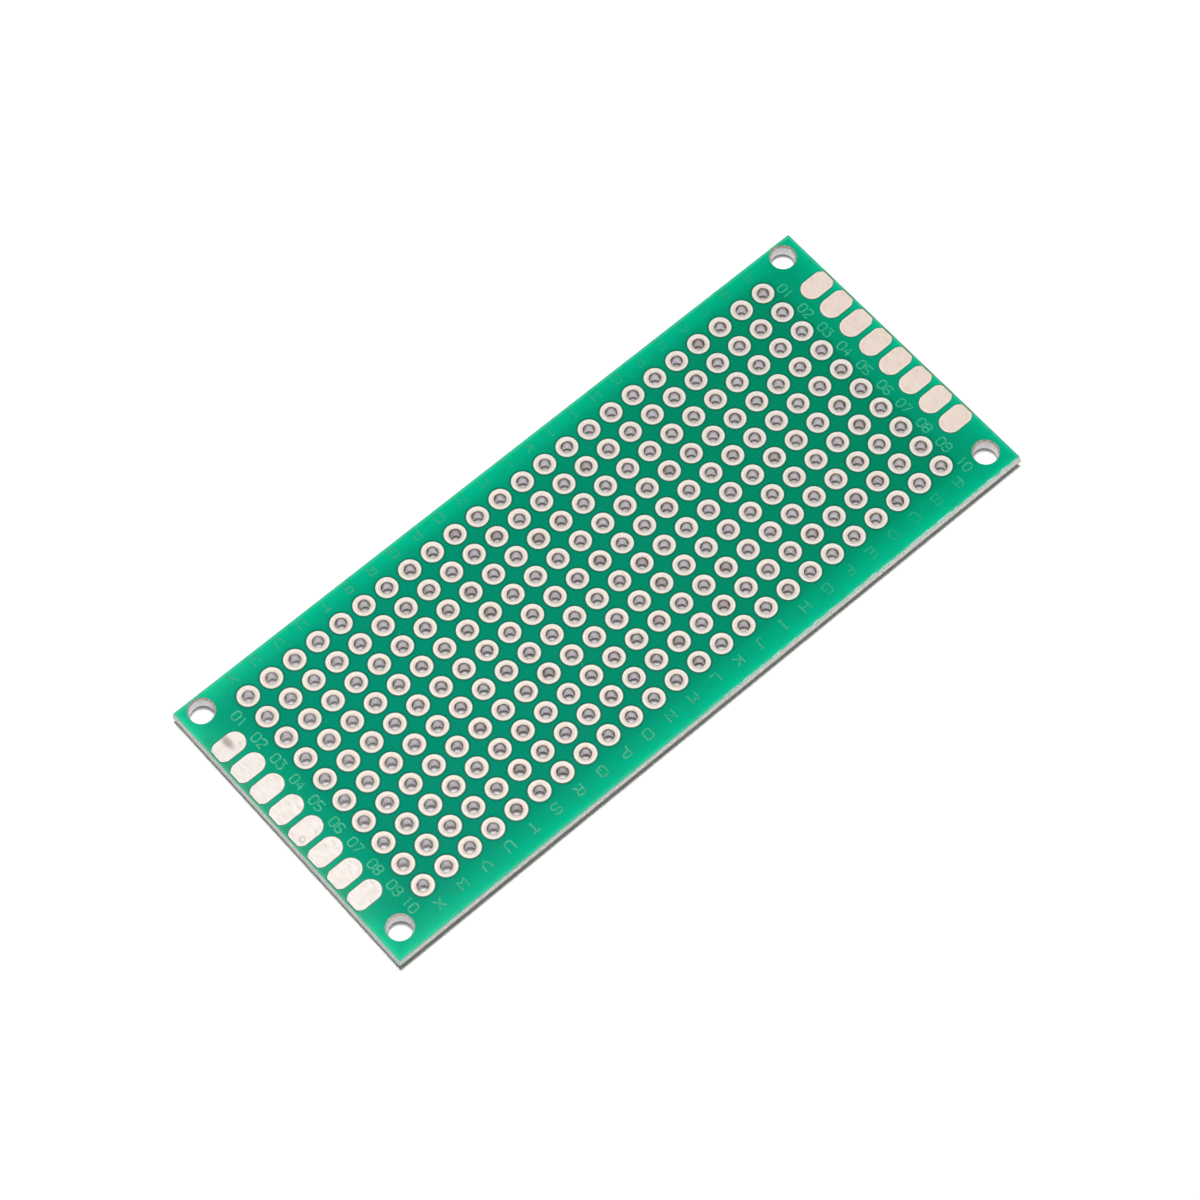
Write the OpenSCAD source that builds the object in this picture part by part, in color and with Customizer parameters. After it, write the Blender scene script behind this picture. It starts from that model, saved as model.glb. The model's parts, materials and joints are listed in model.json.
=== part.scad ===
/* [Board] */
// Length over the snapped edges
board_l = 69.9; // [68:0.1:90]
// Width over the snapped edges
board_w = 29.8; // [29.6:0.1:50]
// Thickness of the glass-fibre laminate between the two copper faces
laminate_t = 1.5; // [1.2:0.1:2.4]
// Thickness of the solder mask on each face
mask_t = 0.03; // [0.015:0.005:0.04]

/* [Score lines] */
// Depth of the score lines in the upper face of the laminate
score_depth_top = 0.45; // [0.1:0.05:0.5]
// Depth of the score lines in the lower face of the laminate
score_depth_bottom = 0.65; // [0.1:0.05:0.65]
// Distance by which the upper face ends short of the snapped web at each end of the board
score_inset_end_top = 0.03; // [0.02:0.01:0.2]
// Distance by which the upper face ends short of the snapped web at each side of the board
score_inset_side_top = 0.06; // [0.02:0.01:0.26]
// Distance by which the lower face ends short of the snapped web at each end of the board
score_inset_end_bottom = 0.12; // [0.04:0.01:0.2]
// Distance by which the lower face ends short of the snapped web at each side of the board
score_inset_side_bottom = 0.26; // [0.04:0.01:0.26]

/* [Hole grid] */
// Distance between neighbouring holes
pitch = 2.54; // [2.3:0.01:2.54]
// Number of columns along the board
columns = 24; // [4:1:24]
// Number of rows across the board
rows = 10; // [4:1:10]
// Offset of the drilled pattern from the middle of the board, along its length
pattern_shift_x = 0.04; // [-0.1:0.01:0.1]
// Offset of the drilled pattern from the middle of the board, across its width
pattern_shift_y = 0.46; // [-0.42:0.02:0.46]

/* [Plated holes] */
// Finished diameter of a hole, inside its plating
hole_d = 1.0; // [0.6:0.05:1.2]
// Wall of the plating in the hole
plating_t = 0.05; // [0.02:0.01:0.08]
// Diameter of the ring round a hole
pad_d = 2.0; // [1.6:0.05:2.1]
// Height of copper and tin over the laminate
pad_t = 0.05; // [0.04:0.005:0.08]
// Width of the flat part of a ring, outside its dished part
ring_flat = 0.2; // [0.05:0.05:0.2]
// How far the tin dips from the flat part to the hole's mouth
ring_dip = 0.02; // [0:0.005:0.025]
// Bevel where the plating turns into the hole
mouth_bevel = 0.04; // [0.01:0.01:0.06]
// Bevel at the outer rim of a ring
rim_bevel = 0.015; // [0.005:0.005:0.03]
// Bare gap between a pad and the mask round it
mask_relief = 0.06; // [0.02:0.01:0.1]

/* [End pads] */
// Width of an end pad
end_pad_w = 2.0; // [1.4:0.05:2.1]
// Length of an end pad, before its tip is cut square
end_pad_l = 3.2; // [2.4:0.1:3.3]
// How much of the rounded tip is cut away
end_pad_trim = 0.2; // [0:0.02:0.4]
// Distance from the cut tip to the edge of the shorter face
end_pad_edge = 0.11; // [0.11:0.01:0.5]

/* [Mounting holes] */
// Diameter of a mounting hole
mount_hole_d = 2.2; // [1.6:0.1:2.4]
// Offset of each mounting hole from the middle of its mask opening, both along and across the board
mount_shift = -0.08; // [-0.1:0.01:0.04]
// Width of the bare ring round a mounting hole, where it is narrowest
mount_ring = 0.02; // [0.01:0.01:0.04]
// Distance from a mounting hole's mask opening to the board's end, before the pattern's offset
mount_inset_end = 1.95; // [1.9:0.05:2.3]
// Distance from a mounting hole's mask opening to the board's side, before the pattern's offset
mount_inset_side = 1.9; // [1.9:0.05:2.3]

/* [Hidden] */
$fn = 24;
past = 1;
inset_top = [score_inset_end_top, score_inset_side_top];
inset_bottom = [score_inset_end_bottom, score_inset_side_bottom];
face_top = [board_l, board_w] - 2 * inset_top;
face_bottom = [board_l, board_w] - 2 * inset_bottom;
end_pad_tip_x = min(face_top.x, face_bottom.x) / 2 - end_pad_edge;
core_bottom = pad_t;
core_top = core_bottom + laminate_t;
board_t = core_top + pad_t;
drill_d = hole_d + 2 * plating_t;
first_x = (columns - 1) * pitch / 2;
first_y = (rows - 1) * pitch / 2;
mount_x = board_l / 2 - mount_inset_end;
mount_y = board_w / 2 - mount_inset_side;
mount_offset = [mount_shift, mount_shift];
mount_opening_d = mount_hole_d + 2 * mount_ring + 2 * norm(mount_offset);
pattern_shift = [pattern_shift_x, pattern_shift_y];

// Column A is at the +X end and row 1 is at the +Y side.
function column_x(column) = first_x - column * pitch;
function row_y(row) = first_y - row * pitch;
function column_letter(column) = chr(97 + column);
function two_digits(number) = str(number < 10 ? "0" : "", number);
function column_name(column) = str("hole_plating_", column_letter(column));
function end_pad_name(end, side, row) =
    str("end_pad_", end > 0 ? "a" : column_letter(columns - 1), two_digits(row + 1), "_", side);

// The outermost rows have no end pad, because the mounting holes are beside them.
end_rows = [1 : rows - 2];
ends = [1, -1];
sides = ["top", "bottom"];

module at_grid_holes() {
    for (column = [0 : columns - 1], row = [0 : rows - 1])
        translate([column_x(column), row_y(row)]) children();
}

module at_mounting_holes() {
    for (end = ends, side = [1, -1])
        translate([end * mount_x, side * mount_y]) children();
}

// One end pad's outline: an oblong whose outer tip is cut square, grown evenly by a margin.
module end_pad_outline(end, row, margin = 0) {
    radius = end_pad_w / 2;
    tip_x = end_pad_tip_x - end * pattern_shift_x;
    outer_x = tip_x + end_pad_trim - radius;
    inner_x = outer_x - end_pad_l + end_pad_w;
    translate([0, row_y(row)]) mirror([end > 0 ? 0 : 1, 0]) difference() {
        union() {
            translate([inner_x, 0]) circle(r = radius + margin);
            translate([outer_x, 0]) circle(r = radius + margin);
            translate([inner_x, -radius - margin]) square([outer_x - inner_x, end_pad_w + 2 * margin]);
        }
        translate([tip_x + margin, -end_pad_w]) square([end_pad_l, 2 * end_pad_w]);
    }
}

// A score line's slope runs from the face's edge down to the web, and on past both.
module score_cut(length, inset, depth) {
    slope = inset / depth;
    rotate([90, 0, 0]) linear_extrude(length + 2 * past, center = true) polygon([
        [-inset - slope * past, past],
        [slope * past, -depth - past],
        [2 * past, -depth - past],
        [2 * past, past]
    ]);
}

module score_cuts_of_one_face(inset, depth) {
    for (turn = [0, 180]) {
        rotate([0, 0, turn]) translate([board_l / 2, 0, 0]) score_cut(board_w, inset.x, depth);
        rotate([0, 0, turn + 90]) translate([board_w / 2, 0, 0]) score_cut(board_l, inset.y, depth);
    }
}

module laminate() {
    color([0.80, 0.77, 0.58]) difference() {
        translate([0, 0, core_bottom]) linear_extrude(laminate_t) difference() {
            square([board_l, board_w], center = true);
            translate(pattern_shift) {
                at_grid_holes() circle(d = drill_d);
                translate(mount_offset) at_mounting_holes() circle(d = mount_hole_d);
            }
        }
        translate([0, 0, core_top]) score_cuts_of_one_face(inset_top, score_depth_top);
        translate([0, 0, core_bottom]) mirror([0, 0, 1])
            score_cuts_of_one_face(inset_bottom, score_depth_bottom);
    }
}

// The mask ends at the score lines and stays clear of every pad and mounting hole.
module solder_mask(face) {
    color([0.04, 0.52, 0.40]) linear_extrude(mask_t) difference() {
        square(face, center = true);
        translate(pattern_shift) {
            at_grid_holes() circle(d = pad_d + 2 * mask_relief);
            at_mounting_holes() circle(d = mount_opening_d);
            for (end = ends, row = end_rows) end_pad_outline(end, row, mask_relief);
        }
    }
}

module solder_mask_top() {
    translate([0, 0, core_top]) solder_mask(face_top);
}

module solder_mask_bottom() {
    translate([0, 0, core_bottom - mask_t]) solder_mask(face_bottom);
}

// Half of a plated hole's section, from the middle of the barrel up over the ring on one face.
function plating_section(hole_r, drill_r, pad_r) = let(
    top = board_t / 2,
    under = laminate_t / 2
) [
    [hole_r, top - ring_dip - mouth_bevel],
    [hole_r + mouth_bevel, top - ring_dip],
    [pad_r - rim_bevel - ring_flat, top],
    [pad_r - rim_bevel, top],
    [pad_r, top - rim_bevel],
    [pad_r, under],
    [drill_r, under]
];

// A ring on each face and the barrel that joins them are one plated wall.
module plated_hole() {
    upper = plating_section(hole_r = hole_d / 2, drill_r = drill_d / 2, pad_r = pad_d / 2);
    lower = [for (i = [len(upper) - 1 : -1 : 0]) [upper[i].x, -upper[i].y]];
    translate([0, 0, board_t / 2]) rotate_extrude() polygon(concat(upper, lower));
}

module hole_plating(column) {
    color([0.92, 0.88, 0.82]) translate(pattern_shift) for (row = [0 : rows - 1])
        translate([column_x(column), row_y(row)]) plated_hole();
}

module end_pad(end, side, row) {
    color([0.93, 0.88, 0.82]) translate([0, 0, side == "top" ? core_top : 0])
        linear_extrude(pad_t) translate(pattern_shift) end_pad_outline(end, row);
}

laminate();
solder_mask_top();
solder_mask_bottom();
for (column = [0 : columns - 1])
    hole_plating(column);
for (side = sides, end = ends, row = end_rows)
    end_pad(end, side, row);
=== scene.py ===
"""The looks of a blank prototype board: green mask, tinned holes and pads, snapped glass-fibre edges.

Lengths are written in millimetres and scaled to the frame's metres where a piece is made.
"""
import json
import math

import bmesh
import bpy
from mathutils import Matrix, Vector


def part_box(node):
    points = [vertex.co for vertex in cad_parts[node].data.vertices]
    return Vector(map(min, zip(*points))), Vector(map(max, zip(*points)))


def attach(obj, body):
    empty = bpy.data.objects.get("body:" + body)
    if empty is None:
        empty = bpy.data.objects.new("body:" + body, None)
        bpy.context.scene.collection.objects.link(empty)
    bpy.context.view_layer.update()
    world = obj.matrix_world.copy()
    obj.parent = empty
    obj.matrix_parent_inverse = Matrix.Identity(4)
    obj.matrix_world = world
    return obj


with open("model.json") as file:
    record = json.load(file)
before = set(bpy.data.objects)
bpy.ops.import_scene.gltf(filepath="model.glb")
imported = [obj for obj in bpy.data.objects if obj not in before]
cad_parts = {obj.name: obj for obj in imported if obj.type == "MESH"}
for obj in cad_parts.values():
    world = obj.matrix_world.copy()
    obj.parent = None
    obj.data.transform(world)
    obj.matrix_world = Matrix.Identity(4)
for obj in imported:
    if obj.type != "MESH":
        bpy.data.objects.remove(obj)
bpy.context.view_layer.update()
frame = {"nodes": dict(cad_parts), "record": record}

MM = 0.001

# The board's own places, read from the frame.
COLUMNS = "abcdefghijklmnopqrstuvwx"
ROWS = 10
FACE_HIGH = Vector(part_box("solder_mask_top")[1]) / MM
CORE_LOW, CORE_HIGH = (Vector(corner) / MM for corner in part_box("laminate"))
FIRST_LOW, FIRST_HIGH = (Vector(corner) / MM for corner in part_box("hole_plating_a"))
LAST_LOW = Vector(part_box("hole_plating_x")[0]) / MM
PAD_LOW, PAD_HIGH = (Vector(corner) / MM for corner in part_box("end_pad_a02_top"))
BORES = [mount for mount in frame["record"]["mounts"] if mount["kind"] == "bore"]
HOLE_RADIUS = BORES[0]["dims"]["r_mm"]
RING_RADIUS = (FIRST_HIGH.x - FIRST_LOW.x) / 2
PAD_RADIUS = (PAD_HIGH.y - PAD_LOW.y) / 2
PITCH = (FIRST_LOW.x - LAST_LOW.x) / (len(COLUMNS) - 1)
GRID_X = (FIRST_HIGH.x + LAST_LOW.x) / 2
GRID_Y = (FIRST_HIGH.y + FIRST_LOW.y) / 2
GRID_REACH_X = (len(COLUMNS) - 1) / 2 * PITCH
GRID_REACH_Y = (ROWS - 1) / 2 * PITCH
HOLE_A01 = (GRID_X + GRID_REACH_X, GRID_Y + GRID_REACH_Y)
MASK_TOP = FACE_HIGH.z

# The camera, from the photograph.
CAMERA_PLACE = (-98.03, -121.55, 324.97)
CAMERA_AIM = (-1.139, -1.074, 1.6)
CAMERA_ROLL = -2.60
CAMERA_LENS = 126.52
SENSOR = 36

# The light: one small softbox nearly overhead and an even room, which is brighter from below so that the
# underside is lit.
SOFTBOX_SIZE = 200
SOFTBOX_PLACE = (60, 65, 1000)
SOFTBOX_BRIGHTNESS = 78
ROOM_LIGHT = 0.14
UNDER_LIGHT = 0.9

# The floor. Rays shorter than its clearance pass through it.
FLOOR_SIZE = 6000
FLOOR_DROP = 0.01
FLOOR_WHITE = 0.95
FLOOR_GLOW = 0.03
FLOOR_CLEARANCE = 0.1

# The index marks. Each stroke is a run of points on a grid of cells, four wide and six high. A point is
# written as its column and its height, and a comma starts another stroke.
CELLS_WIDE = 4
CELLS_HIGH = 6
STROKES = {
    "0": "10 01 05 16 36 45 41 30 10",
    "1": "15 26 20",
    "2": "05 16 36 45 44 00 40",
    "3": "06 46 24 34 43 41 30 10 01",
    "4": "30 36 02 42",
    "5": "46 06 03 33 42 41 30 00",
    "6": "45 36 16 05 01 10 30 41 42 33 03",
    "7": "06 46 10",
    "8": "13 04 05 16 36 45 44 33 13 02 01 10 30 41 42 33",
    "9": "01 10 30 41 45 36 16 05 04 13 43",
    "A": "00 04 16 36 44 40,03 43",
    "B": "00 06 36 45 44 33 03,33 42 41 30 00",
    "C": "45 36 16 05 01 10 30 41",
    "D": "00 06 26 44 42 20 00",
    "E": "46 06 00 40,03 33",
    "F": "46 06 00,03 33",
    "G": "45 36 16 05 01 10 30 41 43 23",
    "H": "00 06,40 46,03 43",
    "I": "20 26,10 30,16 36",
    "J": "01 10 20 31 36,26 46",
    "K": "00 06,46 02,13 40",
    "L": "06 00 40",
    "M": "00 06 24 46 40",
    "N": "00 06 40 46",
    "O": "10 01 05 16 36 45 41 30 10",
    "P": "00 06 36 45 44 33 03",
    "Q": "10 01 05 16 36 45 41 30 10,22 40",
    "R": "00 06 36 45 44 33 03,23 40",
    "S": "45 36 16 05 04 13 33 42 41 30 10 01",
    "T": "06 46,26 20",
    "U": "06 01 10 30 41 46",
    "V": "06 03 20 43 46",
    "W": "06 00 22 40 46",
    "X": "00 46,06 40",
}
# A stroke's width, its height over the mask, and how much higher each point is than the one before.
STROKE_WIDTH = 0.15
STROKE_RISE = 0.016
STROKE_LIFT = 0.004
LETTER_HEIGHT = 0.93
LETTER_WIDTH = 0.7
LETTER_FROM_ROWS = 13.58
DIGIT_HEIGHT = 0.88
DIGIT_WIDTH = 0.56
DIGIT_STEP = 0.76
NUMBERS_AT_A = 30.82
NUMBERS_AT_X = -31.1
NUMBER_PLACES = [10.30, 7.65, 5.10, 2.58, 0.05, -2.58, -5.00, -7.58, -10.08, -12.63]
LAST_NUMBER_AT_X = -12.08

# The snapped webs, from their lower to their upper edge, and the torn fibre on them: how far it spills over
# both edges, how deep it is sunk into the laminate, and the length that it is cut into.
WEB_LOW = 0.70
WEB_HIGH = 1.10
FRAY_SPILL = 0.03
FRAY_SUNK = 0.05
FRAY_LENGTH = 1.0
# For each edge: the turn that brings it to its side, how far the fibre stands out at its two ends and how
# much further at its foot, how far it runs past the corner, and how rough it is.
TORN_EDGES = {
    "torn_edge_by_row_10": {
        "turn": 0, "start": 0.015, "end": 0.025, "foot": 0.0, "past": 0.1, "rough": 0.012,
    },
    "torn_edge_by_row_01": {
        "turn": 180, "start": 0.01, "end": 0.01, "foot": 0.0, "past": 0.0, "rough": 0.02,
    },
    "torn_edge_by_column_a": {
        "turn": 90, "start": 0.01, "end": 0.01, "foot": 0.0, "past": 0.0, "rough": 0.02,
    },
    "torn_edge_by_column_x": {
        "turn": -90, "start": 0.0, "end": 0.0, "foot": 0.06, "past": 0.0, "rough": 0.006,
    },
}

# What several finishes share, and the two blemishes on single end pads.
THREAD = 0.42
TIN_METAL = 0.65
TIN_ROUGHNESS = (0.62, 0.74)
SMEAR_PLACE = (-33.15, 9.75)
DIMPLE_PLACE = (-34.04, -1.21)
DIMPLE_RADIUS = 0.24


def paint(red, green, blue):
    """A colour as it looks on a screen, from 0 to 255, turned into the light that it gives back."""
    def linear(value):
        share = value / 255
        return share / 12.92 if share <= 0.04045 else ((share + 0.055) / 1.055) ** 2.4
    return (linear(red), linear(green), linear(blue), 1)


# The colour of painted shade, low on the cut and torn edges.
PAINTED_SHADE = paint(98, 94, 88)


class Recipe:
    """A node tree, with a short call for each kind of node that the finishes use."""

    def __init__(self, tree):
        self.tree = tree
        self.nodes = tree.nodes
        self.nodes.clear()

    def feed(self, socket, value):
        if isinstance(value, bpy.types.NodeSocket):
            self.tree.links.new(value, socket)
        else:
            socket.default_value = value

    def node(self, kind, **settings):
        made = self.nodes.new(kind)
        for name, value in settings.items():
            setattr(made, name, value)
        return made

    def place(self):
        """The piece's own coordinates in millimetres."""
        return self.vector("SCALE", self.node("ShaderNodeTexCoord").outputs["Object"], scale=1 / MM)

    def math(self, operation, first, second=0.0, third=0.0):
        made = self.node("ShaderNodeMath", operation=operation)
        for socket, value in zip(made.inputs, (first, second, third)):
            self.feed(socket, value)
        return made.outputs[0]

    def times(self, first, *others):
        """All the values multiplied."""
        product = first
        for other in others:
            product = self.math("MULTIPLY", product, other)
        return product

    def away(self, value, middle):
        """How far a value is from the middle, to either side."""
        return self.math("ABSOLUTE", self.math("SUBTRACT", value, middle))

    def vector(self, operation, first, second=None, scale=None):
        made = self.node("ShaderNodeVectorMath", operation=operation)
        self.feed(made.inputs[0], first)
        if second is not None:
            self.feed(made.inputs[1], second)
        if scale is not None:
            self.feed(made.inputs["Scale"], scale)
        return made.outputs["Value" if operation in ("LENGTH", "DISTANCE") else "Vector"]

    def parts(self, vector):
        made = self.node("ShaderNodeSeparateXYZ")
        self.feed(made.inputs[0], vector)
        return made.outputs["X"], made.outputs["Y"], made.outputs["Z"]

    def join(self, x, y, z):
        made = self.node("ShaderNodeCombineXYZ")
        for socket, value in zip(made.inputs, (x, y, z)):
            self.feed(socket, value)
        return made.outputs[0]

    def noise(self, place, scale, detail=2.0, rough=0.5):
        made = self.node("ShaderNodeTexNoise")
        self.feed(made.inputs["Vector"], place)
        self.feed(made.inputs["Scale"], scale)
        self.feed(made.inputs["Detail"], detail)
        self.feed(made.inputs["Roughness"], rough)
        return made.outputs["Fac"]

    def step(self, value, low, high, to_low, to_high):
        """A soft step: to_low up to low, to_high from high on."""
        made = self.node("ShaderNodeMapRange", interpolation_type="SMOOTHSTEP")
        for socket, setting in zip(made.inputs, (value, low, high, to_low, to_high)):
            self.feed(socket, setting)
        return made.outputs[0]

    def rise(self, value, low, high, share=1.0):
        """Nothing up to low, and that share from high on."""
        return self.step(value, low, high, 0.0, share)

    def fall(self, value, low, high, share=1.0):
        """That share up to low, and nothing from high on."""
        return self.step(value, low, high, share, 0.0)

    def blend(self, share, under, over):
        """The colour under where the share is 0, and the colour over where it is 1."""
        made = self.node("ShaderNodeMix", data_type="RGBA", blend_type="MIX")
        factor, colour_a, colour_b, colour_out = 0, 6, 7, 2
        for socket, value in zip((factor, colour_a, colour_b), (share, under, over)):
            self.feed(made.inputs[socket], value)
        return made.outputs[colour_out]

    def group(self, tree, **values):
        made = self.node("ShaderNodeGroup", node_tree=tree)
        for name, value in values.items():
            self.feed(made.inputs[name], value)
        return made.outputs


def node_group(name, inputs, outputs):
    """An empty group with sockets of the kinds given. Returns its recipe, its inputs and its outputs."""
    tree = bpy.data.node_groups.new(name, "ShaderNodeTree")
    for socket, kind in inputs.items():
        tree.interface.new_socket(socket, in_out="INPUT", socket_type=kind)
    for socket, kind in outputs.items():
        tree.interface.new_socket(socket, in_out="OUTPUT", socket_type=kind)
    recipe = Recipe(tree)
    return recipe, recipe.node("NodeGroupInput").outputs, recipe.node("NodeGroupOutput").inputs


def hole_finder():
    """Distance from the nearest hole's middle in millimetres, and that hole's own number from 0 to 1."""
    recipe, given, result = node_group(
        "hole finder",
        {"Place": "NodeSocketVector"},
        {"Distance": "NodeSocketFloat", "Number": "NodeSocketFloat"},
    )
    half = PITCH / 2
    corner = (HOLE_A01[0] - half, HOLE_A01[1] - half, 0)
    x, y = recipe.parts(recipe.vector("SUBTRACT", given["Place"], corner))[:2]
    cell = recipe.join(
        recipe.math("FLOOR", recipe.math("DIVIDE", x, PITCH)),
        recipe.math("FLOOR", recipe.math("DIVIDE", y, PITCH)),
        0.0,
    )
    in_cell = recipe.join(
        recipe.math("WRAP", x, PITCH, 0.0),
        recipe.math("WRAP", y, PITCH, 0.0),
        0.0,
    )
    outward = recipe.vector("SUBTRACT", in_cell, (half, half, 0))
    recipe.feed(result["Distance"], recipe.vector("LENGTH", outward))
    random = recipe.node("ShaderNodeTexWhiteNoise", noise_dimensions="2D")
    recipe.feed(random.inputs["Vector"], cell)
    recipe.feed(result["Number"], random.outputs["Value"])
    return recipe.tree


def pad_finder():
    """Distance from the middle line of the nearest end pad, and across it alone, in millimetres.

    A pad's sides and its rounded end are at its radius from that line.
    """
    recipe, given, result = node_group(
        "pad finder",
        {"Place": "NodeSocketVector"},
        {"Distance": "NodeSocketFloat", "Across": "NodeSocketFloat"},
    )
    x, y = recipe.parts(given["Place"])[:2]
    half = PITCH / 2
    in_row = recipe.math("WRAP", recipe.math("SUBTRACT", y, HOLE_A01[1] - half), PITCH, 0.0)
    across = recipe.away(in_row, half)
    inward = recipe.math("SUBTRACT", PAD_LOW.x + PAD_RADIUS, recipe.math("ABSOLUTE", x))
    inward = recipe.math("MAXIMUM", inward, 0.0)
    recipe.feed(result["Distance"], recipe.vector("LENGTH", recipe.join(inward, across, 0.0)))
    recipe.feed(result["Across"], across)
    return recipe.tree


def speckler():
    """Small scattered specks: 1 on a speck and 0 between them."""
    recipe, given, result = node_group(
        "specks",
        {"Place": "NodeSocketVector", "Spacing": "NodeSocketFloat", "Size": "NodeSocketFloat"},
        {"Speck": "NodeSocketFloat"},
    )
    cells = recipe.node("ShaderNodeTexVoronoi", feature="F1")
    wobble = recipe.noise(given["Place"], 6.0, 1.0)
    moved = recipe.vector("ADD", given["Place"], recipe.join(wobble, wobble, 0.0))
    recipe.feed(cells.inputs["Vector"], moved)
    recipe.feed(cells.inputs["Scale"], recipe.math("DIVIDE", 1.0, given["Spacing"]))
    shrink = recipe.parts(cells.outputs["Color"])[0]
    reach = recipe.times(recipe.math("POWER", shrink, 3.0), given["Size"])
    reach = recipe.math("DIVIDE", reach, given["Spacing"])
    past_speck = recipe.math("SUBTRACT", cells.outputs["Distance"], reach)
    recipe.feed(result["Speck"], recipe.fall(past_speck, -0.01, 0.015))
    return recipe.tree


def glass_cloth():
    """The crossing threads of the glass cloth: Height runs from 0 between threads to 1 on a crossing."""
    recipe, given, result = node_group(
        "glass cloth",
        {"Place": "NodeSocketVector", "Thread": "NodeSocketFloat"},
        {"Height": "NodeSocketFloat"},
    )
    drift = recipe.noise(given["Place"], 0.35, 2.0)
    x, y = recipe.parts(given["Place"])[:2]
    waves = []
    for along in (x, y):
        drifted = recipe.math("ADD", along, recipe.times(drift, 0.5))
        turned = recipe.times(recipe.math("DIVIDE", drifted, given["Thread"]), math.pi)
        waves.append(recipe.math("ABSOLUTE", recipe.math("SINE", turned)))
    recipe.feed(result["Height"], recipe.times(waves[0], waves[1]))
    return recipe.tree


def board_zones():
    """How far in from the board's edge a place is, and how far past the outer holes, in millimetres.

    By pads is 1 between the mounting holes, where the end pads are, and fades to 0 beside them.
    """
    recipe, given, result = node_group(
        "board zones",
        {"Place": "NodeSocketVector"},
        {"From edge": "NodeSocketFloat", "Past holes": "NodeSocketFloat", "By pads": "NodeSocketFloat"},
    )
    x, y = recipe.parts(given["Place"])[:2]
    from_end = recipe.math("SUBTRACT", FACE_HIGH.x, recipe.math("ABSOLUTE", x))
    from_side = recipe.math("SUBTRACT", FACE_HIGH.y, recipe.math("ABSOLUTE", y))
    recipe.feed(result["From edge"], recipe.math("MINIMUM", from_end, from_side))
    from_middle = recipe.away(y, GRID_Y)
    past_ends = recipe.math("SUBTRACT", recipe.away(x, GRID_X), GRID_REACH_X)
    past_sides = recipe.math("SUBTRACT", from_middle, GRID_REACH_Y)
    recipe.feed(result["Past holes"], recipe.math("MAXIMUM", past_ends, past_sides))
    recipe.feed(result["By pads"], recipe.fall(from_middle, 8.6, 12.4))
    return recipe.tree


HOLE_FINDER = hole_finder()
PAD_FINDER = pad_finder()
SPECKS = speckler()
GLASS_CLOTH = glass_cloth()
BOARD_ZONES = board_zones()


def finish_of(name, roughness, metallic=0.0, specular=0.5):
    """A new material. Returns it with its recipe, its shader and the piece's own place in millimetres."""
    material = bpy.data.materials.new(name)
    material.use_nodes = True
    recipe = Recipe(material.node_tree)
    shader = recipe.node("ShaderNodeBsdfPrincipled")
    shader.inputs["Roughness"].default_value = roughness
    shader.inputs["Metallic"].default_value = metallic
    shader.inputs["Specular IOR Level"].default_value = specular
    output = recipe.node("ShaderNodeOutputMaterial")
    recipe.feed(output.inputs["Surface"], shader.outputs[0])
    return material, recipe, shader, recipe.place()


def relief(recipe, shader, height, depth):
    """A bump whose height from 0 to 1 stands for that depth in millimetres."""
    bump = recipe.node("ShaderNodeBump")
    bump.inputs["Strength"].default_value = 1.0
    bump.inputs["Distance"].default_value = depth * MM
    recipe.feed(bump.inputs["Height"], height)
    recipe.feed(shader.inputs["Normal"], bump.outputs[0])


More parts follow.
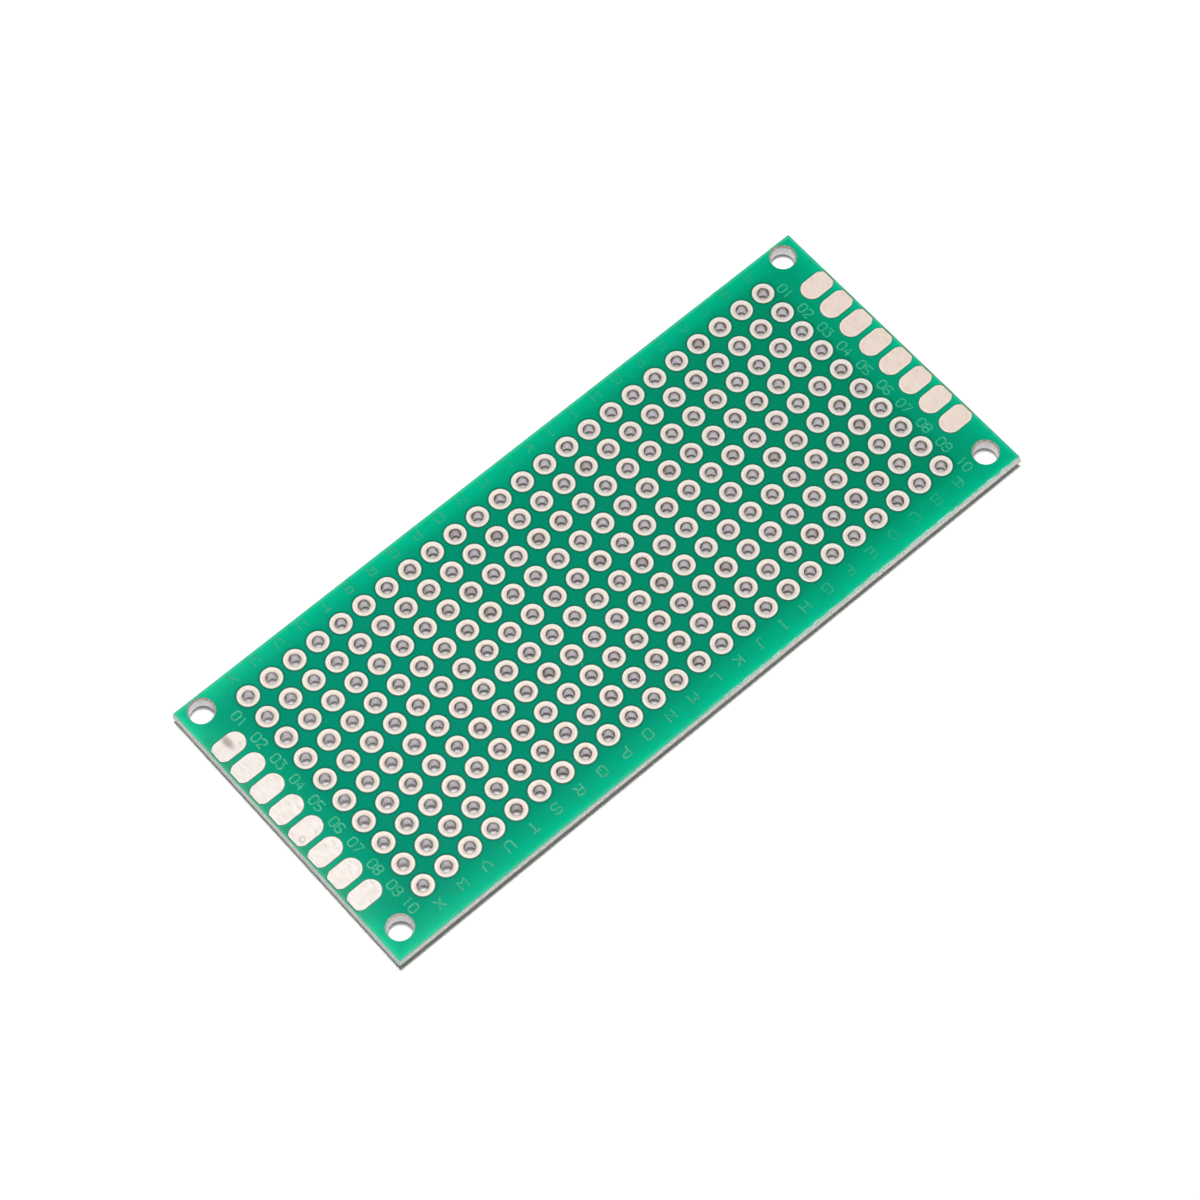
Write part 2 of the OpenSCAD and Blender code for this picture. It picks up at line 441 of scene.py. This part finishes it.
def green_mask():
    """Satin green film, deeper among the rings and paler towards the board's edges, where light coming
    through the film is painted in, with a painted sheen towards the X end, painted shade round the rings and
    fine specks.
    """
    material, recipe, shader, place = finish_of("green solder mask", 0.16, specular=0.05)
    x, y = recipe.parts(place)[:2]
    zones = recipe.group(BOARD_ZONES, Place=place)
    in_field = recipe.fall(zones["Past holes"], RING_RADIUS + 0.2, RING_RADIUS + 0.3)

    # The green itself: deep in the field of rings and pale at the edges, greyer by the end pads at the X end.
    # Painted sheen: the deep and the pale green are both lighter and bluer towards the X end.
    deep = recipe.blend(recipe.rise(x, -30.0, 30.0), paint(0, 135, 107), paint(0, 126, 91))
    # Painted light: paler past the outer holes and near the edges, for light coming through the film there.
    margin = recipe.rise(zones["Past holes"], 1.0, 1.8, 0.4)
    deep = recipe.blend(margin, deep, paint(0, 154, 116))
    pale = recipe.blend(recipe.rise(x, -35.0, -20.0), paint(30, 202, 152), paint(0, 192, 144))
    by_pads = recipe.times(recipe.fall(x, -34.6, -32.6, 0.75), zones["By pads"])
    pale = recipe.blend(by_pads, pale, paint(58, 146, 108))
    edge_glow_reach = 1.4
    edge_glow = recipe.math("EXPONENT", recipe.times(zones["From edge"], -1 / edge_glow_reach))
    edge_glow = recipe.times(edge_glow, recipe.step(x, 22.0, 33.0, 1.0, 0.8))
    far_side = recipe.times(
        recipe.rise(y, 0.0, 8.0),
        recipe.rise(x, 0.0, 15.0, 0.16),
        recipe.fall(x, 24.0, 32.0),
    )
    edge_glow = recipe.times(edge_glow, recipe.math("SUBTRACT", 1.0, far_side))
    colour = recipe.blend(edge_glow, deep, pale)

    # Paler on the board's rim, and a scuffed strip along the side by row 10, on the half towards column A.
    rim = recipe.fall(zones["From edge"], 0.02, 0.35)
    colour = recipe.blend(recipe.times(rim, 0.5), colour, paint(96, 188, 156))
    ragged = recipe.step(recipe.noise(place, 1.4, 3.0, 0.6), 0.3, 0.7, 0.02, 0.15)
    past_scuff = recipe.math("SUBTRACT", recipe.math("ADD", y, FACE_HIGH.y), ragged)
    scuffed = recipe.times(recipe.fall(past_scuff, -0.02, 0.02), recipe.rise(x, -2.0, 3.0), 0.8)
    colour = recipe.blend(scuffed, colour, paint(184, 216, 204))

    # Painted shade round the rings, and tan between the end pads' tips and the edge by column A.
    from_hole = recipe.group(HOLE_FINDER, Place=place)["Distance"]
    ring_shade = recipe.fall(from_hole, RING_RADIUS + 0.07, RING_RADIUS + 0.24)
    colour = recipe.blend(recipe.times(ring_shade, in_field, 0.7), colour, paint(0, 98, 72))
    across = recipe.group(PAD_FINDER, Place=place)["Across"]
    tips = recipe.times(
        recipe.rise(x, PAD_HIGH.x, PAD_HIGH.x + 0.04),
        zones["By pads"],
        recipe.fall(across, 0.6, 0.9, 0.6),
    )
    colour = recipe.blend(tips, colour, paint(118, 132, 96))

    # The cloth that shows through, clouds, grain and specks.
    cloth = recipe.group(GLASS_CLOTH, Place=place, Thread=THREAD)["Height"]
    colour = recipe.blend(recipe.rise(cloth, 0.2, 1.0, 0.10), colour, paint(8, 176, 134))
    cloud = recipe.noise(place, 0.9, 4.0, 0.6)
    colour = recipe.blend(recipe.rise(cloud, 0.45, 0.75, 0.22), colour, paint(0, 120, 90))
    grain = recipe.noise(place, 7.0, 2.0)
    colour = recipe.blend(recipe.rise(grain, 0.52, 0.72, 0.14), colour, paint(20, 182, 142))
    specks = recipe.group(SPECKS, Place=place, Spacing=1.9, Size=0.11)["Speck"]
    colour = recipe.blend(recipe.times(specks, in_field, 0.3), colour, paint(140, 214, 190))

    recipe.feed(shader.inputs["Base Color"], colour)
    recipe.feed(shader.inputs["Roughness"], recipe.step(cloud, 0.3, 0.7, 0.13, 0.2))
    relief(recipe, shader, recipe.math("ADD", grain, recipe.times(cloth, 0.6)), 0.004)
    return material


def mask_over_marks():
    """The same film where it runs over copper strokes: paler, and a little yellower towards column X."""
    material, recipe, shader, place = finish_of("mask over index marks", 0.34, specular=0.05)
    x, y = recipe.parts(place)[:2]
    towards_x = recipe.fall(x, LAST_LOW.x, FIRST_HIGH.x)
    colour = recipe.blend(recipe.rise(x, 29.2, 29.8), paint(34, 162, 122), paint(66, 172, 134))
    colour = recipe.blend(towards_x, colour, paint(86, 180, 142))
    by_sides = recipe.rise(recipe.math("ABSOLUTE", y), 12.9, 13.1)
    colour = recipe.blend(recipe.times(by_sides, towards_x, 0.4), colour, paint(100, 160, 122))
    colour = recipe.blend(recipe.rise(y, 12.4, 13.0, 0.6), colour, paint(20, 160, 120))
    worn = recipe.rise(recipe.noise(place, 2.4, 3.0), 0.42, 0.6, 0.5)
    colour = recipe.blend(worn, colour, paint(8, 150, 112))
    recipe.feed(shader.inputs["Base Color"], colour)
    relief(recipe, shader, recipe.noise(place, 9.0, 2.0), 0.004)
    return material


def tinned_ring():
    """Hot-tinned copper: a bright outer ring, a duller dished part, a mouth painted brown as shade and a grey
    barrel with painted shade at its top and foot.
    """
    material, recipe, shader, place = finish_of("tinned rings", 0.68, metallic=TIN_METAL)
    x, y, z = recipe.parts(place)
    hole = recipe.group(HOLE_FINDER, Place=place)
    from_middle = hole["Distance"]
    by_x = recipe.step(x, -30.0, -12.0, 0.4, 1.0)

    # The ring: a bright flat band round the dished part, with a thin brown seam between them.
    bright = recipe.blend(recipe.rise(x, -25.0, 25.0), paint(222, 213, 204), paint(213, 208, 202))
    bright = recipe.blend(recipe.rise(from_middle, 0.82, 0.92, 0.5), bright, paint(204, 214, 204))
    wobble = recipe.times(recipe.math("SUBTRACT", recipe.noise(place, 2.2, 2.0), 0.5), 0.22)
    ragged = recipe.math("ADD", from_middle, wobble)
    colour = recipe.blend(recipe.rise(ragged, 0.60, 0.74), paint(198, 188, 180), bright)
    seam = recipe.times(recipe.rise(from_middle, 0.68, 0.72), recipe.fall(from_middle, 0.74, 0.78), 0.4)
    colour = recipe.blend(seam, colour, paint(190, 162, 142))

    # The mouth and the barrel, with painted shade round the mouth, at the barrel's top and at its foot; all
    # plainer at the X end.
    mouth = recipe.times(recipe.fall(ragged, HOLE_RADIUS + 0.02, HOLE_RADIUS + 0.08), by_x, 0.8)
    colour = recipe.blend(mouth, colour, paint(120, 98, 92))
    shaded = recipe.times(recipe.rise(z, 1.1, 1.5), by_x)
    barrel_tin_and_shade = recipe.blend(shaded, paint(200, 196, 200), paint(150, 138, 134))
    foot = recipe.times(recipe.fall(z, 0.2, 0.45, 0.92), by_x)
    barrel_tin_and_shade = recipe.blend(foot, barrel_tin_and_shade, paint(76, 68, 66))
    barrel = recipe.fall(from_middle, HOLE_RADIUS + 0.006, HOLE_RADIUS + 0.012)
    colour = recipe.blend(barrel, colour, barrel_tin_and_shade)

    # Browner mouths on some of the holes, and a green rim at the ring's edge, painted as the dark line of
    # shade where the ring meets the mask.
    picked = recipe.times(recipe.rise(hole["Number"], 0.75, 1.0, 0.3), recipe.rise(x, -28.0, -14.0))
    stained = recipe.times(recipe.fall(from_middle, HOLE_RADIUS, HOLE_RADIUS + 0.14), picked)
    colour = recipe.blend(stained, colour, paint(110, 78, 62))
    rim = recipe.rise(from_middle, RING_RADIUS - 0.035, RING_RADIUS - 0.01)
    colour = recipe.blend(recipe.times(rim, 0.65), colour, paint(44, 136, 112))

    grain = recipe.noise(place, 11.0, 3.0, 0.6)
    colour = recipe.blend(recipe.rise(grain, 0.4, 0.75, 0.25), colour, paint(204, 190, 178))
    recipe.feed(shader.inputs["Base Color"], colour)
    roughness = recipe.step(grain, 0.3, 0.75, *TIN_ROUGHNESS)
    roughness = recipe.math("MINIMUM", roughness, recipe.step(barrel, 0.0, 1.0, 1.0, 0.35))
    recipe.feed(shader.inputs["Roughness"], roughness)
    recipe.feed(shader.inputs["Metallic"], recipe.step(barrel, 0.0, 1.0, TIN_METAL, 1.0))
    relief(recipe, shader, grain, 0.006)
    return material


def tinned_pad():
    """The same tin on the flat end pads, with fine brushed lines and small blemishes."""
    material, recipe, shader, place = finish_of("tinned end pads", 0.68, metallic=TIN_METAL)
    x = recipe.parts(place)[0]
    colour = recipe.blend(recipe.rise(x, -1.0, 1.0), paint(217, 210, 205), paint(211, 197, 186))
    brushed = recipe.noise(recipe.vector("MULTIPLY", place, (5.0, 0.5, 1.0)), 2.4, 3.0, 0.6)
    colour = recipe.blend(recipe.rise(brushed, 0.48, 0.68, 0.2), colour, paint(204, 186, 170))
    patch = recipe.noise(place, 0.8, 2.0)
    colour = recipe.blend(recipe.rise(patch, 0.5, 0.7, 0.2), colour, paint(226, 216, 204))
    pits = recipe.group(SPECKS, Place=place, Spacing=1.1, Size=0.22)["Speck"]
    colour = recipe.blend(recipe.times(pits, 0.2), colour, paint(120, 100, 88))

    # A pale band inside the pad's outline, a painted highlight on its edge, and a green rim at the pad's
    # edge, painted as the dark line of shade where the pad meets the mask.
    from_line = recipe.group(PAD_FINDER, Place=place)["Distance"]
    lip_highlight = recipe.rise(from_line, PAD_RADIUS - 0.16, PAD_RADIUS - 0.08, 0.6)
    colour = recipe.blend(lip_highlight, colour, paint(222, 222, 212))
    rim = recipe.rise(from_line, PAD_RADIUS - 0.04, PAD_RADIUS - 0.02, 0.65)
    colour = recipe.blend(rim, colour, paint(44, 120, 92))

    # A grey-brown smear on the pad by row 02 and a round dimple on the one by row 06, both at the X end.
    from_smear = recipe.vector("SUBTRACT", place, (*SMEAR_PLACE, MASK_TOP))
    from_smear = recipe.vector("LENGTH", recipe.vector("MULTIPLY", from_smear, (1.0, 0.5, 1.0)))
    smear = recipe.math("ADD", from_smear, recipe.times(brushed, 0.4))
    colour = recipe.blend(recipe.fall(smear, 0.3, 0.75, 0.6), colour, paint(116, 98, 88))
    from_dimple = recipe.vector("DISTANCE", place, (*DIMPLE_PLACE, MASK_TOP))
    dimple = recipe.fall(recipe.away(from_dimple, DIMPLE_RADIUS), 0.02, 0.1, 0.4)
    colour = recipe.blend(dimple, colour, paint(150, 132, 112))

    recipe.feed(shader.inputs["Base Color"], colour)
    recipe.feed(shader.inputs["Roughness"], recipe.step(brushed, 0.35, 0.7, *TIN_ROUGHNESS))
    relief(recipe, shader, brushed, 0.006)
    return material


def glass_epoxy():
    """Woven glass and epoxy: pale where it was cut, with painted shade on its lower part, tan where it is
    bare, and painted dark green as shade in the gaps by the pads.
    """
    material, recipe, shader, place = finish_of("glass epoxy laminate", 0.62, specular=0.3)
    x, y, z = recipe.parts(place)
    zones = recipe.group(BOARD_ZONES, Place=place)

    # Cut walls: streaked along the layers, frayed, and plainer and glossier where they were bored.
    layers = recipe.noise(recipe.vector("MULTIPLY", place, (0.5, 0.5, 9.0)), 1.3, 3.0, 0.6)
    frayed = recipe.noise(recipe.vector("MULTIPLY", place, (3.0, 3.0, 6.0)), 1.2, 4.0, 0.6)
    cut = recipe.blend(recipe.rise(layers, 0.4, 0.7, 0.4), paint(236, 246, 241), paint(214, 226, 218))
    cut = recipe.blend(recipe.rise(frayed, 0.5, 0.7, 0.35), cut, paint(200, 212, 202))
    bored = recipe.rise(zones["From edge"], 0.24, 0.32)
    cut = recipe.blend(bored, cut, paint(250, 247, 250))

    # The lower part is painted dark as shade, under the snapped webs and at the foot of the bored walls. The
    # height where that ends differs between sides, ends and bored walls.
    on_sides = recipe.step(x, -5.0, 5.0, 0.92, 0.84)
    on_ends = 0.3
    on_bores = 0.4
    from_side = recipe.math("SUBTRACT", CORE_HIGH.y, recipe.math("ABSOLUTE", y))
    dark_below = recipe.step(from_side, 0.28, 0.3, on_sides, on_ends)
    dark_below = recipe.step(bored, 0.0, 1.0, dark_below, on_bores)
    shaded_below = recipe.fall(recipe.math("SUBTRACT", z, dark_below), -0.05, 0.05, 0.85)
    cut = recipe.blend(shaded_below, cut, recipe.blend(bored, PAINTED_SHADE, paint(70, 66, 64)))

    # Bare faces: the cloth shows round the mounting holes, and the gaps round the pads and end pads are
    # painted dark green as shade.
    cloth = recipe.group(GLASS_CLOTH, Place=place, Thread=THREAD)["Height"]
    bare = recipe.blend(cloth, paint(138, 134, 116), paint(166, 158, 142))
    chips = recipe.noise(place, 3.2, 3.0, 0.7)
    bare = recipe.blend(recipe.rise(chips, 0.5, 0.66, 0.6), bare, paint(96, 92, 72))
    in_field = recipe.fall(zones["Past holes"], RING_RADIUS + 0.3, RING_RADIUS + 0.5)
    bare = recipe.blend(in_field, bare, paint(14, 84, 60))
    at_ends = recipe.fall(zones["From edge"], 3.4, 3.5)
    between_mounts = recipe.fall(recipe.away(y, GRID_Y), 11.0, 11.2)
    bare = recipe.blend(recipe.times(at_ends, between_mounts), bare, paint(24, 92, 66))

    half_thick = (CORE_HIGH.z - CORE_LOW.z) / 2
    from_middle = recipe.away(z, (CORE_LOW.z + CORE_HIGH.z) / 2)
    on_face = recipe.rise(from_middle, half_thick - 0.012, half_thick - 0.004)
    recipe.feed(shader.inputs["Base Color"], recipe.blend(on_face, cut, bare))
    recipe.feed(shader.inputs["Coat Weight"], bored)
    shader.inputs["Coat IOR"].default_value = 1.8
    shader.inputs["Coat Roughness"].default_value = 0.2
    relief(recipe, shader, recipe.math("ADD", layers, frayed), 0.008)
    return material


def snapped_fibre():
    """Torn glass fibre and resin along a snapped web: pale, matt and streaked across, and painted dark as
    shade low on the sides.
    """
    material, recipe, shader, place = finish_of("snapped glass fibre", 0.75, specular=0.3)
    x, y, z = recipe.parts(place)
    streaks = recipe.noise(recipe.vector("MULTIPLY", place, (4.0, 4.0, 1.2)), 1.6, 4.0, 0.7)
    colour = recipe.blend(recipe.rise(streaks, 0.3, 0.6), paint(208, 206, 190), paint(244, 242, 230))
    crumbs = recipe.group(SPECKS, Place=place, Spacing=0.6, Size=0.3)["Speck"]
    colour = recipe.blend(recipe.times(crumbs, 0.2), colour, paint(150, 142, 120))
    # Painted shade: low on the webs along the sides the fibre is darkened, as the shade under the web.
    on_sides = recipe.rise(recipe.math("ABSOLUTE", y), CORE_HIGH.y - 0.1, CORE_HIGH.y - 0.06)
    above = recipe.math("SUBTRACT", z, recipe.step(x, -5.0, 5.0, 0.88, 0.8))
    shaded_below = recipe.times(recipe.fall(above, -0.05, 0.05, 0.7), on_sides)
    colour = recipe.blend(shaded_below, colour, PAINTED_SHADE)
    recipe.feed(shader.inputs["Base Color"], colour)
    relief(recipe, shader, streaks, 0.014)
    return material


def deselect():
    """Nothing stays selected or active."""
    bpy.ops.object.select_all(action="DESELECT")
    bpy.context.view_layer.objects.active = None


def settle(piece, name, material):
    """Puts a finished piece's place into its mesh, gives it its name, finish and slot, and lets it ride."""
    deselect()
    piece.select_set(True)
    bpy.context.view_layer.objects.active = piece
    bpy.ops.object.transform_apply(location=True, rotation=True, scale=True)
    piece.name = name
    piece.data.name = name
    piece.data.materials.clear()
    piece.data.materials.append(material)
    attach(piece, "root")


def draw_stroke(points):
    """One stroke on the open mesh: a point that is drawn along a run of places in the grid of cells."""
    bpy.ops.mesh.primitive_plane_add(size=1, location=(0, 0, 0))
    bpy.ops.mesh.merge(type="CENTER")
    bpy.ops.transform.translate(value=points[0])
    for here, there in zip(points, points[1:]):
        bpy.ops.mesh.extrude_region_move(TRANSFORM_OT_translate={"value": there - here})


def draw_character(character, width, height):
    """A raised character about its own middle, reading along +X with its top towards +Y.

    Each point lies a hair above the one before, so that no two strokes that cross share a surface.
    """
    deselect()
    bpy.ops.mesh.primitive_plane_add(size=1, location=(0, 0, 0))
    drawn = bpy.context.object
    bpy.ops.object.mode_set(mode="EDIT")
    bpy.ops.mesh.delete(type="VERT")
    lift = 0
    for stroke in STROKES[character].split(","):
        places = []
        for point in stroke.split():
            across = int(point[0]) - CELLS_WIDE / 2
            up = int(point[1]) - CELLS_HIGH / 2
            places.append(Vector((across, up, lift)))
            lift += STROKE_LIFT * MM
        draw_stroke(places)
    bpy.ops.mesh.select_all(action="SELECT")
    bpy.ops.mesh.remove_doubles(threshold=0.1)
    cell = (width / CELLS_WIDE * MM, height / CELLS_HIGH * MM, 1)
    bpy.ops.transform.resize(value=cell, center_override=(0, 0, 0))
    bpy.ops.object.mode_set(mode="OBJECT")
    bpy.ops.object.convert(target="CURVE")
    drawn.data.bevel_depth = STROKE_WIDTH / 2 * MM
    drawn.data.bevel_resolution = 1
    drawn.data.use_fill_caps = True
    bpy.ops.object.convert(target="MESH")
    drawn.scale.z = STROKE_RISE / (STROKE_WIDTH / 2)
    bpy.ops.object.transform_apply(location=False, rotation=False, scale=True)
    return drawn


def put_copy(pattern, x, y, turn, step=0.0):
    """A copy of a character with its own mesh. step moves it along its own reading direction."""
    copy = pattern.copy()
    copy.data = pattern.data.copy()
    bpy.context.collection.objects.link(copy)
    copy.rotation_euler.z = math.radians(turn)
    aside = Matrix.Rotation(math.radians(turn), 3, "Z") @ Vector((step, 0, 0))
    copy.location = (Vector((GRID_X + x, GRID_Y + y, MASK_TOP)) + aside) * MM
    return copy


def join_marks(name, marks, finish):
    """Marks of one row become one piece."""
    deselect()
    for mark in marks:
        mark.select_set(True)
    bpy.context.view_layer.objects.active = marks[0]
    bpy.ops.object.join()
    settle(marks[0], name, finish)


def index_letters(finish):
    """Column letters along both sides, all read from the same side of the board."""
    letters = {letter: draw_character(letter.upper(), LETTER_WIDTH, LETTER_HEIGHT) for letter in COLUMNS}
    for side, name in ((-1, "index_letters_by_row_10"), (1, "index_letters_by_row_01")):
        marks = []
        for column, letter in enumerate(COLUMNS):
            x = GRID_REACH_X - column * PITCH
            marks.append(put_copy(letters[letter], x, side * LETTER_FROM_ROWS, 180))
        join_marks(name, marks, finish)
    for pattern in letters.values():
        bpy.data.objects.remove(pattern)


def index_numbers(finish):
    """Row numbers 01 to 10 at both ends, read from the X end."""
    digits = {digit: draw_character(digit, DIGIT_WIDTH, DIGIT_HEIGHT) for digit in "0123456789"}
    ends = {"index_numbers_by_column_a": NUMBERS_AT_A, "index_numbers_by_column_x": NUMBERS_AT_X}
    for name, x in ends.items():
        marks = []
        for row, y in enumerate(NUMBER_PLACES, start=1):
            if row == ROWS and x < 0:
                y = LAST_NUMBER_AT_X
            for digit, step in zip(f"{row:02d}", (-DIGIT_STEP / 2, DIGIT_STEP / 2)):
                marks.append(put_copy(digits[digit], x, y, -90, step))
        join_marks(name, marks, finish)
    for pattern in digits.values():
        bpy.data.objects.remove(pattern)


def select_places(wanted):
    """Selects the vertices of the open mesh whose places pass the test."""
    mesh = bmesh.from_edit_mesh(bpy.context.object.data)
    bpy.ops.mesh.select_mode(type="VERT")
    for vertex in mesh.verts:
        vertex.select = wanted(vertex.co)
    mesh.select_flush_mode()
    bmesh.update_edit_mesh(bpy.context.object.data)


def pull_out(wanted, distance):
    """Moves those places of the open ribbon outwards, which is along -Y until the ribbon is turned."""
    select_places(wanted)
    bpy.ops.transform.translate(value=(0, -distance * MM, 0))


def cut_across(axis, cuts):
    """Cuts the open ribbon across all its edges that run along one axis."""
    mesh = bmesh.from_edit_mesh(bpy.context.object.data)
    for edge in mesh.edges:
        run = edge.verts[1].co - edge.verts[0].co
        edge.select = max(range(3), key=lambda side: abs(run[side])) == axis
    mesh.select_flush_mode()
    bmesh.update_edit_mesh(bpy.context.object.data)
    bpy.ops.mesh.subdivide(number_cuts=cuts)


def torn_edge(name, seed, finish, turn, start, end, foot, past, rough):
    """A ribbon of torn fibre along one snapped web, sunk a little into the laminate.

    It is made along X, facing -Y, and then turned to its own side of the board.
    """
    deselect()
    along, out = (CORE_HIGH.x, CORE_HIGH.y) if turn in (0, 180) else (CORE_HIGH.y, CORE_HIGH.x)
    size = (2 * along + past, FRAY_SUNK, WEB_HIGH - WEB_LOW + 2 * FRAY_SPILL)
    middle = (past / 2, FRAY_SUNK / 2, (WEB_LOW + WEB_HIGH) / 2)
    bpy.ops.mesh.primitive_cube_add(size=1, location=(0, 0, 0))
    ribbon = bpy.context.object
    bpy.ops.object.mode_set(mode="EDIT")
    bpy.ops.transform.resize(value=Vector(size) * MM)
    bpy.ops.transform.translate(value=Vector(middle) * MM)

    outer = middle[1] * MM
    half_up = middle[2] * MM
    pull_out(lambda place: place.y < outer and place.x < 0, start)
    pull_out(lambda place: place.y < outer and place.x > 0, end)
    pull_out(lambda place: place.y < outer and place.z < half_up, foot)
    bpy.ops.mesh.select_mode(type="EDGE")
    cut_across(axis=2, cuts=2)
    cut_across(axis=0, cuts=int(2 * along / FRAY_LENGTH) - 1)
    cut_across(axis=0, cuts=3)

    select_places(lambda place: place.y < 0)
    bpy.ops.transform.vertex_random(offset=rough * MM, uniform=0.0, normal=0.0, seed=seed)
    bpy.ops.mesh.select_all(action="SELECT")
    bpy.ops.mesh.normals_make_consistent(inside=False)
    bpy.ops.object.mode_set(mode="OBJECT")
    ribbon.rotation_euler.z = math.radians(turn)
    ribbon.location = Matrix.Rotation(math.radians(turn), 3, "Z") @ Vector((0, -out * MM, 0))
    settle(ribbon, name, finish)


def dress(nodes, finish):
    """Gives CAD nodes their finish."""
    for name in nodes:
        for slot in frame["nodes"][name].material_slots:
            slot.material = finish


def pale_floor():
    """A plain white floor that keeps a thin shadow.

    It can't be seen from below, and it doesn't darken what rests on it.
    """
    deselect()
    bpy.ops.mesh.primitive_plane_add(size=FLOOR_SIZE * MM, location=(0, 0, -FLOOR_DROP * MM))
    floor = bpy.context.object
    floor.name = "floor"
    material = bpy.data.materials.new("pale floor")
    material.use_nodes = True
    recipe = Recipe(material.node_tree)
    matt = recipe.node("ShaderNodeBsdfDiffuse")
    matt.inputs["Color"].default_value = (FLOOR_WHITE, FLOOR_WHITE, FLOOR_WHITE, 1)
    glow = recipe.node("ShaderNodeEmission")
    rays = recipe.node("ShaderNodeLightPath").outputs
    seen = recipe.math("ADD", rays["Is Camera Ray"], rays["Is Glossy Ray"])
    seen = recipe.math("MINIMUM", recipe.math("ADD", seen, rays["Is Transmission Ray"]), 1.0)
    recipe.feed(glow.inputs["Strength"], recipe.times(seen, FLOOR_GLOW))
    both = recipe.node("ShaderNodeAddShader")
    recipe.feed(both.inputs[0], matt.outputs[0])
    recipe.feed(both.inputs[1], glow.outputs[0])
    clear = recipe.node("ShaderNodeBsdfTransparent")
    touching = recipe.math("LESS_THAN", rays["Ray Length"], FLOOR_CLEARANCE * MM)
    from_below = recipe.node("ShaderNodeNewGeometry").outputs["Backfacing"]
    surface = recipe.node("ShaderNodeMixShader")
    recipe.feed(surface.inputs[0], recipe.math("MAXIMUM", touching, from_below))
    recipe.feed(surface.inputs[1], both.outputs[0])
    recipe.feed(surface.inputs[2], clear.outputs[0])
    output = recipe.node("ShaderNodeOutputMaterial")
    recipe.feed(output.inputs["Surface"], surface.outputs[0])
    floor.data.materials.append(material)


def studio():
    """An even room, white where the camera sees it, and one small softbox nearly overhead."""
    world = bpy.data.worlds.new("studio")
    bpy.context.scene.world = world
    world.use_nodes = True
    recipe = Recipe(world.node_tree)
    room = recipe.node("ShaderNodeBackground")
    room.inputs["Color"].default_value = (1, 1, 1, 1)
    height = recipe.parts(recipe.node("ShaderNodeTexCoord").outputs["Generated"])[2]
    recipe.feed(room.inputs["Strength"], recipe.step(height, -0.05, 0.0, UNDER_LIGHT, ROOM_LIGHT))
    white = recipe.node("ShaderNodeBackground")
    white.inputs["Color"].default_value = (1, 1, 1, 1)
    white.inputs["Strength"].default_value = 1
    seen = recipe.node("ShaderNodeMixShader")
    recipe.feed(seen.inputs[0], recipe.node("ShaderNodeLightPath").outputs["Is Camera Ray"])
    recipe.feed(seen.inputs[1], room.outputs[0])
    recipe.feed(seen.inputs[2], white.outputs[0])
    output = recipe.node("ShaderNodeOutputWorld")
    recipe.feed(output.inputs["Surface"], seen.outputs[0])

    side = SOFTBOX_SIZE * MM
    softbox = bpy.data.lights.new("softbox", "AREA")
    softbox.shape = "SQUARE"
    softbox.size = side
    softbox.energy = SOFTBOX_BRIGHTNESS * math.pi * side ** 2
    lamp = bpy.data.objects.new("softbox", softbox)
    lamp.location = Vector(SOFTBOX_PLACE) * MM
    lamp.rotation_euler = Vector(SOFTBOX_PLACE).to_track_quat("Z", "Y").to_euler()
    bpy.context.collection.objects.link(lamp)


def set_camera():
    """The photograph's view: from high up, out beyond the corner by column X and row 10."""
    data = bpy.data.cameras.new("camera")
    data.sensor_width = SENSOR
    data.sensor_fit = "HORIZONTAL"
    data.lens = CAMERA_LENS
    data.clip_start = 0.01
    camera = bpy.data.objects.new("camera", data)
    bpy.context.collection.objects.link(camera)
    line_of_sight = Vector(CAMERA_AIM) - Vector(CAMERA_PLACE)
    roll = Matrix.Rotation(math.radians(CAMERA_ROLL), 3, "Z")
    turn = line_of_sight.to_track_quat("-Z", "Y").to_matrix() @ roll
    camera.rotation_euler = turn.to_euler()
    camera.location = Vector(CAMERA_PLACE) * MM
    bpy.context.scene.camera = camera


set_camera()
studio()
pale_floor()

dress(["laminate"], glass_epoxy())
dress(["solder_mask_top", "solder_mask_bottom"], green_mask())
dress([f"hole_plating_{letter}" for letter in COLUMNS], tinned_ring())
dress([name for name in frame["nodes"] if name.startswith("end_pad")], tinned_pad())

mark_finish = mask_over_marks()
index_letters(mark_finish)
index_numbers(mark_finish)

torn_finish = snapped_fibre()
for seed, (name, facts) in enumerate(TORN_EDGES.items(), start=1):
    torn_edge(name, seed, torn_finish, **facts)

bpy.context.scene.view_settings.view_transform = "Standard"
